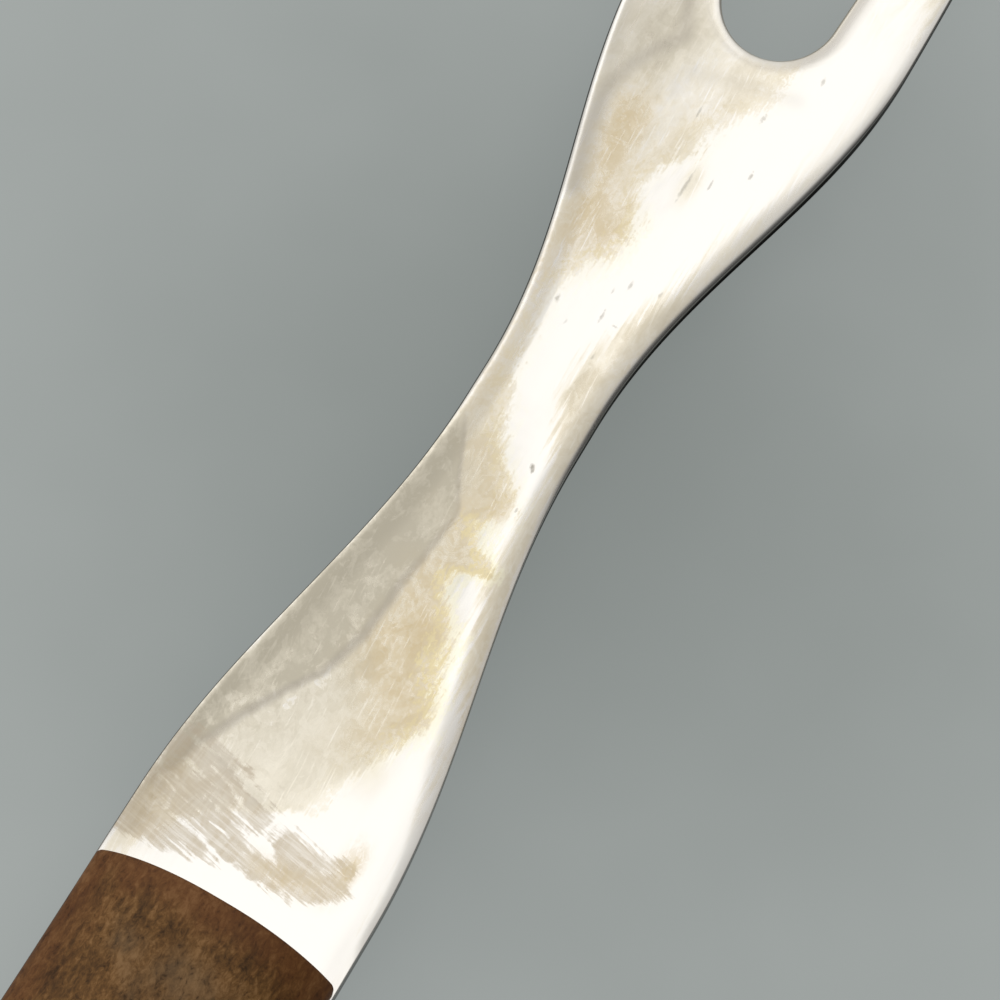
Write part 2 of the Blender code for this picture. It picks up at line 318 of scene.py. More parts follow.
# Painted shade: colour of the contour line and of the shade lines on the head and by the tines' gap; one
# grime stroke on the shoulder takes it too
PAINTED_SHADE_COLOUR = (0.3, 0.278, 0.245)
# Painted shade on the blade's side walls, deepest past the shoulder
WALL_SHADE_COLOURS = ((0.42, 0.405, 0.38), (0.5, 0.485, 0.46))
DEEP_WALL_SHADE = (0.3, 0.29, 0.275)
LIP_COLOUR = (0.4, 0.34, 0.25)
# Painted shade of the dents
NICK_SHADE_COLOUR = (0.26, 0.25, 0.22)
# Painted shade along the edges of the upper face
EDGE_SHADE_COLOUR = (0.15, 0.14, 0.13)
WOOD_COLOURS = (
    (0.22, (0.036, 0.017, 0.0055)),
    (0.42, (0.083, 0.039, 0.0113)),
    (0.56, (0.127, 0.061, 0.0178)),
    (0.8, (0.23, 0.122, 0.047)),
)
DUST_COLOUR = (0.152, 0.098, 0.051)
RED_WOOD = (0.115, 0.038, 0.012)
PORE_COLOUR = (0.034, 0.017, 0.006)
BRASS_COLOUR = (0.68, 0.49, 0.24)
TARNISH_COLOUR = (0.46, 0.31, 0.14)
WHITE = (1.0, 1.0, 1.0)
BLACK = (0.0, 0.0, 0.0)

# Stage
FLOOR_COLOUR = (0.385, 0.415, 0.408)
# Painted shade: the floor darkens towards a centre near the fork
FLOOR_SHADE = (0.268, 0.294, 0.286)
FLOOR_CENTRE = (0.032, -0.0055, 0.0)
FLOOR_SPREAD = 0.068
FLOOR_GLOW = 0.72
FLOOR_SIZE = 3.0
WARM_WHITE = (1.0, 0.985, 0.95)
LAMP_RISE = 0.6
LEVEL_LAMPS = (
    # name, range of x, range of y, radiance
    ("key_shoulder", (-0.1, 0.238), (-0.12, 0.035), 0.7),
    ("key_joint", (-0.15, 0.135), (0.035, 0.2), 0.7),
    ("key_step", (0.135, 0.175), (0.035, 0.095), 0.7),
    ("key_neck", (0.238, 0.32), (-0.12, 0.127), 0.7),
    ("key_head", (0.32, 0.7), (-0.14, 0.075), 0.7),
    ("key_fade", (0.238, 0.33), (0.127, 0.24), 0.28),
    ("key_tine", (0.365, 0.7), (-0.23, -0.14), 0.7),
)
SIDE_LAMP = (0.24, 0.53, 0.36)
SIDE_TARGET = (0.02, 0.0, BLADE_Z)
SIDE_SIZE = (0.5, 0.3)
SIDE_RADIANCE = 0.9
WORLD_COLOUR = (0.92, 0.9, 0.86)
DARK_SIDE = (0.1, 0.1, 0.1)
WORLD_RISE = (0.0, 0.9, 1.0)
WORLD_FADE = (-0.35, 0.6)

# Camera
TILT_BACK = 0.36
TILT_SIDE = 0.09
TURN = math.radians(31.5)
DISTANCE = 0.3
LENS = 135.0
SENSOR = 36.0
CLIP_START = 0.01
TARGET_AHEAD = 0.0407
TARGET_LEFT = -0.00166


def clamp(value):
    return min(max(value, 0.0), 1.0)


def ease(start, end, share):
    """A cosine blend, flat at both ends."""
    return start + (end - start) * (0.5 - 0.5 * math.cos(math.pi * clamp(share)))


def between(x, start, end):
    return clamp((x - start) / (end - start))


def rounded(x, end, run):
    """A quarter ellipse: 0 at the end, 1 a run away from it."""
    share = 1 - clamp(abs(x - end) / run)
    return math.sqrt(1 - share * share)


def quarter_drop(gap, radius):
    """How far a rounded edge lies below its corner, this far in from the side."""
    inward = radius - clamp(gap / radius) * radius
    return radius - math.sqrt(radius * radius - inward * inward)


def half_width(x):
    """Outer edge of the blade at x, measured from the axis."""
    if x < BUTT_X + BUTT_ROUND:
        return BUTT_WIDTH / 2 + (HANDLE_WIDTH - BUTT_WIDTH) / 2 * rounded(x, BUTT_X, BUTT_ROUND)
    if x < JOINT_X:
        return ease(HANDLE_WIDTH, JOINT_WIDTH, between(x, SWELL_X, JOINT_X)) / 2
    if x < NECK_X:
        start = JOINT_X + SHOULDER_STRAIGHT
        return ease(JOINT_WIDTH, NECK_WIDTH, between(x, start, NECK_X - NECK_STRAIGHT / 2)) / 2
    if x < CROOK_X:
        start = NECK_X + NECK_STRAIGHT / 2
        return ease(NECK_WIDTH, HEAD_WIDTH, between(x, start, CROOK_X)) / 2
    share = between(x, CROOK_X, TIP_X)
    return (HEAD_WIDTH + (TIP_SPREAD + TIP_WIDTH - HEAD_WIDTH) * share * share) / 2


def gap_half_width(x):
    """Inner edge of a tine at x, past the round of the crotch."""
    return (TINE_GAP + (TIP_SPREAD - TIP_WIDTH - TINE_GAP) * between(x, CROOK_X, TIP_X)) / 2


def tine_edges(x):
    """Inner and outer edge of a tine at x, drawn together at its rounded tip."""
    inner = gap_half_width(x)
    outer = half_width(x)
    middle = (inner + outer) / 2
    half = max((outer - inner) / 2 * rounded(x, TIP_X, TIP_ROUND), TIP_FLAT / 2)
    return middle - half, middle + half


def spaced(start, end, count):
    """Stations from start up to, not including, end."""
    return [start + (end - start) * step / count for step in range(count)]


def crowded(start, run, count):
    """Stations from start over a run, crowded towards the start."""
    return [start + run * (1 - math.cos(math.pi / 2 * step / count)) for step in range(count)]


def edge_columns(width, border, near, inner_steps):
    """Places across a strip, from 0 to width, with the places of near next to both edges."""
    fit = min(1.0, BORDER_SHARE * width / border)
    border = border * fit
    near = [place * fit for place in near]
    middle = spaced(border, width - border, inner_steps)
    far = [width - border] + [width - place for place in reversed(near)]
    return near + middle + far


def blade_rows():
    """Pairs of points (inner edge, outer edge) down one half of the blade, from butt to tip."""
    throat_x = CROTCH_X - TINE_GAP
    fan_end = CROOK_X + TINE_GAP
    shank_x = JOINT_X - SHANK_LEAD
    body = crowded(BUTT_X, BUTT_ROUND, BUTT_ROWS)
    body += spaced(BUTT_X + BUTT_ROUND, shank_x, TANG_ROWS)
    body += spaced(shank_x, throat_x, SHANK_ROWS)
    rows = [((x, 0.0), (x, half_width(x))) for x in body]

    axis = crowded(throat_x, TINE_GAP, THROAT_ROWS)[1:]
    inner = [(CROTCH_X + throat_x - x, 0.0) for x in reversed(axis)]
    for angle in spaced(0.0, math.pi / 2, CROTCH_ROWS):
        inner.append((CROOK_X - CROTCH_DEPTH * math.cos(angle), TINE_GAP / 2 * math.sin(angle)))
    inner += [(x, gap_half_width(x)) for x in spaced(CROOK_X, fan_end, FAN_ROWS)]
    for point, x in zip(inner, spaced(throat_x, fan_end, len(inner))):
        rows.append((point, (x, half_width(x))))

    tip_start = TIP_X - TIP_ROUND
    tine = spaced(fan_end, tip_start, TINE_ROWS)
    tine += [TIP_X - (x - tip_start) for x in crowded(tip_start, TIP_ROUND, TIP_ROWS)]
    for x in sorted(tine + [tip_start]):
        edge_in, edge_out = tine_edges(x)
        rows.append(((x, edge_in), (x, edge_out)))
    return rows


def distance_to_lines(points, lines):
    """Shortest distance from each (x, y) point to any of the polylines."""
    best = np.full(len(points), np.inf)
    for line in lines:
        for start, end in zip(line[:-1], line[1:]):
            along = end - start
            length = along @ along
            if length == 0:
                continue
            share = np.clip(((points - start) @ along) / length, 0, 1)
            gap = points - start - share[:, None] * along
            best = np.minimum(best, np.einsum("ij,ij->i", gap, gap))
    return np.sqrt(best)


def add_object(name, data):
    made = bpy.data.objects.new(name, data)
    bpy.context.scene.collection.objects.link(made)
    return made


def mesh_from(work, name):
    bmesh.ops.recalc_face_normals(work, faces=work.faces)
    mesh = bpy.data.meshes.new(name)
    work.to_mesh(mesh)
    work.free()
    return mesh


def piece_from(work, name, material):
    """Turn a bmesh into an object of the scene, with points at one place merged."""
    bmesh.ops.remove_doubles(work, verts=work.verts, dist=MERGE_DISTANCE)
    mesh = mesh_from(work, name)
    mesh.materials.append(material)
    return add_object(name, mesh)


def smooth(piece, angle):
    piece.data.shade_smooth()
    piece.data.set_sharp_from_angle(angle=math.radians(angle))


def stand_for(piece, node):
    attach(piece, "root")
    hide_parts(node)


def add_attribute(mesh, name, values):
    layer = mesh.attributes.new(name, "FLOAT", "POINT")
    layer.data.foreach_set("value", np.asarray(values, np.float32))


def vertex_places(mesh):
    places = np.empty(len(mesh.vertices) * 3, np.float32)
    mesh.vertices.foreach_get("co", places)
    return places.reshape(-1, 3).astype(float)


def blade_height(x):
    """Mid-plane of the blade: flat to the crotch, then the tines curve up."""
    share = between(x, RISE_X, TIP_X)
    return BLADE_Z + TINE_RISE * share * share


def blade_section(x, y, from_edge, from_gap):
    """Half thickness at a point that lies this far from the outer edge and from the tines' gap."""
    fall_x = JOINT_X + FALL_LEAD
    full = ease(BLADE_THICKNESS, TIP_THICKNESS, between(x, CROTCH_X, TIP_X))
    fallen = ease(0.0, 1.0, between(x, JOINT_X, fall_x))
    reach = ease(SHOULDER_FALL, EDGE_FALL, between(x, fall_x, fall_x + FALL_RUN))
    reach = ease(reach, HEAD_FALL, between(x, JOINT_X + HEAD_LEAD, CROTCH_X))
    thin = (1 - EDGE_THICKNESS / BLADE_THICKNESS) * reach / EDGE_FALL
    at_edge = max(1 - from_edge / reach, 0.0)
    at_gap = max(1 - from_gap / GAP_FALL, 0.0)
    half = full * (1 - fallen * max(thin * at_edge * at_edge, GAP_THIN * at_gap * at_gap)) / 2
    half -= fallen * BLADE_CROWN * min((y / half_width(x)) ** 2, 1.0)
    facet_x = JOINT_X + FACET_START
    fade_x = JOINT_X + FACET_END
    ground = ease(0.0, FACET_SLOPE, between(x, facet_x, facet_x + FACET_RUN))
    ground = ease(ground, 0.0, between(x, fade_x, fade_x + FACET_RUN))
    facet = ground * max(FACET_WIDTH - from_edge, 0.0) ** 2 / (2 * FACET_WIDTH)
    return half - facet - max(quarter_drop(from_edge, EDGE_RADIUS), quarter_drop(from_gap, GAP_RADIUS))


def add_sheets(work, sheets, rows, columns):
    """Faces of grids of points that are listed row by row."""
    for row in range(rows - 1):
        for column in range(columns - 1):
            corner = row * columns + column
            ring = (corner, corner + columns, corner + columns + 1, corner + 1)
            for sheet in sheets:
                work.faces.new([sheet[index] for index in ring])


def down_column(rows, columns, column, first=0):
    """Pairs of neighbours down one column of a grid, from its first row on."""
    return [(row * columns + column, (row + 1) * columns + column) for row in range(first, rows - 1)]


def along_row(row, columns):
    """Pairs of neighbours along one row of a grid."""
    return [(row * columns + step, row * columns + step + 1) for step in range(columns - 1)]


def add_walls(work, pairs, upper, lower):
    """Side walls between two sheets of points, in strips, so that the middle of a wall is shaded flat."""
    for a, b in pairs:
        rungs = []
        for share in WALL_SHARES:
            ends = [upper[index].co.lerp(lower[index].co, share) for index in (a, b)]
            rungs.append([work.verts.new(end) for end in ends])
        for high, low in zip(rungs[:-1], rungs[1:]):
            work.faces.new((high[0], high[1], low[1], low[0]))


def blade_plan(rows):
    """Points across each row, from its inner to its outer end."""
    near = [step * MM for step in EDGE_STEPS]
    plan = []
    for (x_in, y_in), (x_out, y_out) in rows:
        width = math.hypot(x_out - x_in, y_out - y_in)
        for place in edge_columns(width, EDGE_FALL, near, MIDDLE_COLUMNS):
            share = place / width
            plan.append((x_in + (x_out - x_in) * share, y_in + (y_out - y_in) * share))
    return np.array(plan)


def blade_sheets(plan, from_edge, from_gap):
    """Upper and lower surface over the plan, square to the curve of the tines."""
    top, bottom = [], []
    for index, (x, y) in enumerate(plan):
        half = blade_section(x, y, from_edge[index], from_gap[index])
        middle = blade_height(x)
        slope = 2 * TINE_RISE * between(x, RISE_X, TIP_X) / (TIP_X - RISE_X)
        lean = slope / math.hypot(1.0, slope)
        lift = 1 / math.hypot(1.0, slope)
        top.append((x - half * lean, y, middle + half * lift))
        bottom.append((min(x + half * lean, TIP_X), y, middle - half * lift))
    return top, bottom


def make_blade(material):
    rows = blade_rows()
    plan = blade_plan(rows)
    count = len(plan) // len(rows)
    outer = np.array([row[1] for row in rows])
    gap_line = np.array([row[0] for row in rows if row[0][0] >= CROTCH_X - TINY])
    from_edge = distance_to_lines(plan, [outer, np.array(rows[0]), np.array(rows[-1])])
    from_gap = distance_to_lines(plan, [gap_line])
    top, bottom = blade_sheets(plan, from_edge, from_gap)

    walls = down_column(len(rows), count, count - 1)
    walls += down_column(len(rows), count, 0, len(rows) - len(gap_line))
    walls += along_row(0, count) + along_row(len(rows) - 1, count)
    work = bmesh.new()
    for side in (1, -1):
        upper = [work.verts.new((x, side * y, z)) for x, y, z in top]
        lower = [work.verts.new((x, side * y, z)) for x, y, z in bottom]
        add_sheets(work, (upper, lower), len(rows), count)
        add_walls(work, walls, upper, lower)
    piece = piece_from(work, "blade_skin", material)
    smooth(piece, BLADE_CREASE)
    mark_blade(piece.data, [outer, outer * (1, -1)], [gap_line, gap_line * (1, -1)])
    stand_for(piece, "fork_blade")


def soft_step(values, low, high):
    share = np.clip((values - low) / (high - low), 0, 1)
    return share * share * (3 - 2 * share)


def bell(distance, reach):
    """1 at no distance, falling away over the reach."""
    return np.exp(-((distance / reach) ** 2))


def blots(marks, ahead, left):
    """Sum of soft round marks at each place."""
    total = np.zeros(len(ahead))
    for mark_ahead, mark_left, along, across, strength in marks:
        total += strength * bell(ahead - mark_ahead, along) * bell(left - mark_left, across)
    return total


def scrubbed_strip(ahead, left):
    """Where the scrub strokes hold: a slanting strip across the shoulder, rubbed bare in places."""
    start = ahead + SCRUB_LEAN * np.maximum(left, 0.0)
    start -= SCRUB_CORNER_LEAN * np.maximum(SCRUB_CORNER - left, 0.0)
    strip = soft_step(start, *SCRUB_START) * soft_step(left, *SCRUB_SIDE)
    strip *= 1 - soft_step(ahead - SCRUB_LEAN * left, *SCRUB_END)
    return np.clip(strip - blots(RUBBED, ahead, left), 0.0, 1.0)


def mark_blade(mesh, edge_lines, gap_lines):
    """Soft marks kept on the points of the mesh: worn edges, a pale band by the tines' gap that paints
    reflection, blots, lines of painted shade and the scrubbed strip.
    """
    places = vertex_places(mesh)
    from_edge = distance_to_lines(places[:, :2], edge_lines)
    from_gap = distance_to_lines(places[:, :2], gap_lines)
    add_attribute(mesh, "edge", bell(from_edge, EDGE_WEAR_AND_SHADE_REACH))
    add_attribute(mesh, "fall", soft_step(-from_edge, -EDGE_FALL, -FALL_FULL))
    add_attribute(mesh, "gap", bell(from_gap, GAP_REFLECTION_REACH))

    ahead = (places[:, 0] - JOINT_X) / MM
    left = places[:, 1] / MM
    add_attribute(mesh, "film", blots(FILMS, ahead, left))
    add_attribute(mesh, "stain", blots(STAINS, ahead, left))
    add_attribute(mesh, "scrub", scrubbed_strip(ahead, left))

    flat = np.column_stack([ahead, left])
    # A fine line of painted shade around the tines' gap
    shade = GAP_LINE_STRENGTH * bell(from_gap - GAP_LINE, GAP_LINE_REACH)
    for line, reach, strength in SHADE_AND_GRIME_LINES:
        shade = np.maximum(shade, strength * bell(distance_to_lines(flat, [np.array(line)]), reach))
    add_attribute(mesh, "shade", shade)


def scale_half_width(x):
    width = half_width(x) - SCALE_INSET
    return width - quarter_drop(JOINT_X - x, SCALE_CORNER)


def dome(x, y):
    """Height of a scale over its foot: a flat land along the crown and a round arc down to each edge."""
    rise = (SCALE_CROWN - SCALE_EDGE) * rounded(x, BUTT_X + SCALE_INSET, CROWN_RUN)
    if rise < LEAST_RISE:
        return SCALE_EDGE
    reach = half_width(x) - SCALE_INSET - CROWN_FLAT / 2
    off_land = max(abs(y) - CROWN_FLAT / 2, 0.0)
    radius = (reach * reach + rise * rise) / (2 * rise)
    return SCALE_EDGE + math.sqrt(radius * radius - off_land * off_land) - (radius - rise)


def ripple(x, y, side):
    """Depth of faint waves in the wood, which leave the land along the crown flat."""
    wave = noise.noise((x * LONG_WAVE[0], y * LONG_WAVE[1], LONG_WAVE[2] * side))
    wave += 0.5 * noise.noise((x * SHORT_WAVE[0], y * SHORT_WAVE[1], SHORT_WAVE[2] * side))
    return SCALE_RIPPLE * clamp(0.5 + 0.5 * wave) * clamp((abs(y) - CROWN_FLAT / 2) / RIPPLE_LEAD)


def scale_stations():
    end = BUTT_X + SCALE_INSET
    front = JOINT_X - SCALE_BORDER
    stations = crowded(end, CROWN_RUN, SCALE_BUTT_ROWS)
    stations += spaced(end + CROWN_RUN, front, SCALE_ROWS)
    stations += [JOINT_X - (x - front) for x in crowded(front, JOINT_X - front, SCALE_FRONT_ROWS)]
    return sorted(stations + [front])


def scale_plan():
    """Points of a scale seen from above, as a grid of rows, with its front end drawn back in an arc."""
    near = crowded(0.0, SCALE_BORDER, BORDER_COLUMNS)
    grid = []
    for x in scale_stations():
        width = scale_half_width(x)
        places = edge_columns(2 * width, SCALE_BORDER, near, SCALE_COLUMNS)
        grid.append([(x, place - width) for place in places])
    grid = np.array(grid)
    reach = np.clip(1 - (JOINT_X - grid[:, :, 0]) / FRONT_RUN, 0, 1)
    grid[:, :, 0] -= reach * (FRONT_SET + FRONT_ARC * (2 * grid[:, :, 1] / JOINT_WIDTH) ** 2)
    return grid


def make_scale(name, node, side, material):
    """One scale: side is 1 for the upper one, -1 for the lower one."""
    grid = scale_plan()
    rows, count = grid.shape[:2]
    plan = grid.reshape(-1, 2)
    outline = [grid[0], grid[-1], grid[:, 0], grid[:, -1]]
    gaps = distance_to_lines(plan, outline)

    work = bmesh.new()
    foot = BLADE_Z + side * (SCALE_LOW.z - BLADE_Z)
    upper, lower = [], []
    for (x, y), gap in zip(plan, gaps):
        height = dome(x, y) - ripple(x, y, side) - quarter_drop(gap, SCALE_ROUND)
        upper.append(work.verts.new((x, y, foot + side * height)))
        lower.append(work.verts.new((x, y, foot)))
    add_sheets(work, (upper, lower), rows, count)
    walls = down_column(rows, count, 0) + down_column(rows, count, count - 1)
    walls += along_row(0, count) + along_row(rows - 1, count)
    for a, b in walls:
        work.faces.new((upper[a], upper[b], lower[b], lower[a]))
    piece = piece_from(work, name, material)

    drill_for_rivets(piece)
    places = vertex_places(piece.data)
    add_attribute(piece.data, "rim", bell(distance_to_lines(places[:, :2], outline), RIM_REACH))
    smooth(piece, CREASE)
    stand_for(piece, node)


def turned_mesh(name, profile):
    """A closed turned mesh from (radius, height) points that run down its outer side."""
    work = bmesh.new()
    half_step = math.pi / TURN_STEPS
    angles = spaced(half_step, 2 * math.pi + half_step, TURN_STEPS)
    rings = []
    for radius, height in profile:
        if radius == 0:
            rings.append([work.verts.new((0.0, 0.0, height))] * TURN_STEPS)
            continue
        rings.append([work.verts.new((radius * math.cos(a), radius * math.sin(a), height)) for a in angles])
    for first, second in zip(rings[:-1], rings[1:]):
        for step in range(TURN_STEPS):
            after = (step + 1) % TURN_STEPS
            corners = [first[step], first[after], second[after], second[step]]
            work.faces.new(list(dict.fromkeys(corners)))
    return mesh_from(work, name)


def rivet_places():
    """Node name stem, x and radius of the head of each rivet."""
    found = []
    for name in RIVET_NAMES:
        low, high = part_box(f"{name}_rivet_tube")
        found.append((name, (low.x + high.x) / 2, (high.y - low.y) / 2))
    return found


def drill_for_rivets(piece):
    """Cut each rivet's hole through a scale and keep only the cut mesh."""
    for _, x, radius in rivet_places():
        hole = radius + HEAD_CLEARANCE
        profile = ((0.0, 2 * TOP_Z), (hole, 2 * TOP_Z), (hole, -TOP_Z), (0.0, -TOP_Z))
        cutter = add_object("cutter", turned_mesh("cutter", profile))
        cutter.location.x = x
        cut = piece.modifiers.new("hole", "BOOLEAN")
        cut.operation = "DIFFERENCE"
        cut.solver = "EXACT"
        cut.object = cutter
        bpy.context.view_layer.update()
        graph = bpy.context.evaluated_depsgraph_get()
        done = bpy.data.meshes.new_from_object(piece.evaluated_get(graph))
        piece.modifiers.clear()
        whole = piece.data
        piece.data = done
        done.name = piece.name
        bpy.data.meshes.remove(whole)
        spent = cutter.data
        bpy.data.objects.remove(cutter)
        bpy.data.meshes.remove(spent)


def head_profile(radius, level, inward):
    """A rivet head from its middle to its underside, with a rounded rim; inward is the sign of the way in."""
    points = [(0.0, level), (HEAD_FLAT * radius, level)]
    for step in range(HEAD_STEPS + 1):
        angle = math.pi / 2 * step / HEAD_STEPS
        across = radius - HEAD_ROUND + HEAD_ROUND * math.sin(angle)
        points.append((across, level + inward * HEAD_ROUND * (1 - math.cos(angle))))
    points.append((radius, level + inward * HEAD_HEIGHT))
    return points


def make_rivets(material):
    for name, x, radius in rivet_places():
        tube_low, tube_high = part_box(f"{name}_rivet_tube")
        pin_low, pin_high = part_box(f"{name}_rivet_pin")
        bore_end = pin_high.z + PIN_SPARE
        tube = head_profile(radius, tube_high.z, -1)
        tube += [(SHANK_RADIUS, tube_high.z - HEAD_HEIGHT), (SHANK_RADIUS, tube_low.z)]
        tube += [(BORE_RADIUS, tube_low.z), (BORE_RADIUS, bore_end), (0.0, bore_end)]
        pin = head_profile(radius, pin_low.z, 1)
        pin += [(PIN_RADIUS, pin_low.z + HEAD_HEIGHT), (PIN_RADIUS, pin_high.z), (0.0, pin_high.z)]
        for half, profile in (("tube", tube), ("pin", pin)):
            mesh = turned_mesh(f"{name}_turned_{half}", profile)
            mesh.materials.append(material)
            piece = add_object(mesh.name, mesh)
            piece.location.x = x
            smooth(piece, CREASE)
            stand_for(piece, f"{name}_rivet_{half}")


class Graph:
    """Builds the node tree of one material or world."""

    def __init__(self, owner):
        owner.use_nodes = True
        self.owner = owner
        self.tree = owner.node_tree
        self.shader = self.tree.nodes.get("Principled BSDF")
        self.coordinates = self.add("ShaderNodeTexCoord")
        self.place = self.coordinates.outputs["Object"]

    def add(self, kind, **settings):
        node = self.tree.nodes.new(kind)
        for name, value in settings.items():
            setattr(node, name, value)
        return node

    def put(self, socket, value):
        """Link a node's output to a socket, or set the socket's own value."""
        if isinstance(value, bpy.types.NodeSocket):
            self.tree.links.new(value, socket)
        else:
            socket.default_value = value

    def finish(self, **sockets):
        """Fill the shader's sockets, named with _ for each space."""
        for name, value in sockets.items():
            self.put(self.shader.inputs[name.replace("_", " ")], value)
        return self.owner

    def attribute(self, name):
        return self.add("ShaderNodeAttribute", attribute_name=name).outputs["Fac"]

    def ellipse(self, centre, reach):
        """Distance from an ellipse's middle, seen from above: 0 in the middle, 1 on its rim."""
        node = self.add("ShaderNodeMapping")
        self.put(node.inputs["Vector"], self.place)
        node.inputs["Scale"].default_value = (1 / reach[0], 1 / reach[1], 0.0)
        node.inputs["Location"].default_value = (-centre[0] / reach[0], -centre[1] / reach[1], 0.0)
        length = self.add("ShaderNodeVectorMath", operation="LENGTH")
        self.put(length.inputs[0], node.outputs["Vector"])
        return length.outputs["Value"]

    def axes(self):
        """How far ahead of the joint and to the left a point lies, in millimetres."""
        node = self.add("ShaderNodeSeparateXYZ")
        self.put(node.inputs[0], self.place)
        ahead = self.math("MULTIPLY", self.math("SUBTRACT", node.outputs["X"], JOINT_X), 1 / MM)
        return ahead, self.math("MULTIPLY", node.outputs["Y"], 1 / MM)

    def line(self, ahead, points):
        """Value of a table of (ahead, value) points: how far left a line lies there, or a strength."""
        node = self.add("ShaderNodeFloatCurve")
        curve = node.mapping.curves[0]
        places = [(x / LINE_REACH, 0.5 + y / LINE_SPREAD) for x, y in points]
        curve.points[0].location = places[0]
        curve.points[1].location = places[-1]
        for place in places[1:-1]:
            curve.points.new(*place)
        for point in curve.points:
            point.handle_type = "VECTOR"
        node.mapping.extend = "HORIZONTAL"
        node.mapping.update()
        self.put(node.inputs["Value"], self.math("MULTIPLY", ahead, 1 / LINE_REACH))
        level = self.math("SUBTRACT", node.outputs["Value"], 0.5)
        return self.math("MULTIPLY", level, LINE_SPREAD)

    def noise(self, along, across, detail, roughness=0.55, distortion=0.0, turn=0.0, shift=(0.0, 0.0, 0.0)):
        """A pattern with this many waves per metre along and across the fork, turned this many degrees."""
        spin = self.add("ShaderNodeVectorRotate", rotation_type="Z_AXIS")
        self.put(spin.inputs["Vector"], self.place)
        spin.inputs["Angle"].default_value = math.radians(turn)
        stretch = self.add("ShaderNodeMapping")
        self.put(stretch.inputs["Vector"], spin.outputs["Vector"])
        stretch.inputs["Location"].default_value = shift
        stretch.inputs["Scale"].default_value = (along, across, across)
        node = self.add("ShaderNodeTexNoise")
        self.put(node.inputs["Vector"], stretch.outputs["Vector"])
        kinds = {"Scale": 1.0, "Detail": detail, "Roughness": roughness, "Distortion": distortion}
        for name, value in kinds.items():
            node.inputs[name].default_value = value
        return node.outputs["Fac"]

    def math(self, operation, first, second=0.0, clamped=False):
        node = self.add("ShaderNodeMath", operation=operation, use_clamp=clamped)
        self.put(node.inputs[0], first)
        self.put(node.inputs[1], second)
        return node.outputs[0]

    def off(self, value, middle):
        """How far a value lies from a middle, on either side."""
        return self.math("ABSOLUTE", self.math("SUBTRACT", value, middle))

    def product(self, first, *others):
        for other in others:
            first = self.math("MULTIPLY", first, other)
        return first

    def weighted(self, *terms):
        """Sum of (value, weight) pairs."""
        total = None
        for value, weight in terms:
            part = self.math("MULTIPLY", value, weight)
            total = part if total is None else self.math("ADD", total, part)
        return total

    def step(self, value, low, high, to_low=0.0, to_high=1.0):
        """A soft step: to_low below low, to_high above high."""
        node = self.add("ShaderNodeMapRange", interpolation_type="SMOOTHSTEP")
        for index, item in enumerate((value, low, high, to_low, to_high)):
            self.put(node.inputs[index], item)
        return node.outputs[0]

    def mix(self, share, first, second):
        node = self.add("ShaderNodeMix", data_type="RGBA")
        self.put(node.inputs["Factor"], share)
        for socket, value in zip((node.inputs[6], node.inputs[7]), (first, second)):
            self.put(socket, value if isinstance(value, bpy.types.NodeSocket) else (*value, 1.0))
        return node.outputs[2]

    def ramp(self, value, *stops):
        """Colours at places along a value, as (place, colour) pairs."""
        node = self.add("ShaderNodeValToRGB")
        elements = node.color_ramp.elements
        while len(elements) < len(stops):
            elements.new(0.5)
        for element, (place, colour) in zip(elements, stops):
            element.position = place
            element.color = (*colour, 1.0)
        self.put(node.inputs[0], value)
        return node.outputs["Color"]

    def bump(self, height, distance, strength=1.0, under=None):
        node = self.add("ShaderNodeBump")
        self.put(node.inputs["Height"], height)
        node.inputs["Distance"].default_value = distance
        node.inputs["Strength"].default_value = strength
        if under is not None:
            self.put(node.inputs["Normal"], under)
        return node.outputs["Normal"]

    def upward(self):
        """Z of the surface's own normal."""
        node = self.add("ShaderNodeSeparateXYZ")
        self.put(node.inputs[0], self.coordinates.outputs["Normal"])
        return node.outputs["Z"]


def steel_noises(g):
    """The patterns that the marks on the steel are made of."""
    return SimpleNamespace(
        mottle=g.noise(150, 210, 8.0, 0.66, 0.6),
        patch=g.noise(380, 500, 7.0, 0.68, 0.8, shift=(3.0, 1.0, 0.0)),
        speck=g.noise(1900, 2600, 6.0, 0.68, 0.4),
        fleck=g.noise(480, 760, 6.0, 0.66, 0.5, turn=-30.0),
        brush=g.noise(110, 2200, 6.0, 0.6),
        scratch=g.noise(240, 4200, 3.0, 0.55, 0.2, turn=-4.0),
        streak=g.noise(90, 620, 7.0, 0.66, 0.8, turn=6.0),
        bands=g.noise(430, 70, 6.0, 0.66, 0.5, turn=12.5),
        flames=g.noise(1900, 150, 6.0, 0.62, 0.5, turn=12.5),
        bristle=g.noise(4200, 260, 4.0, 0.62, 0.4, turn=10.0, shift=(1.0, 2.0, 0.0)),
    )


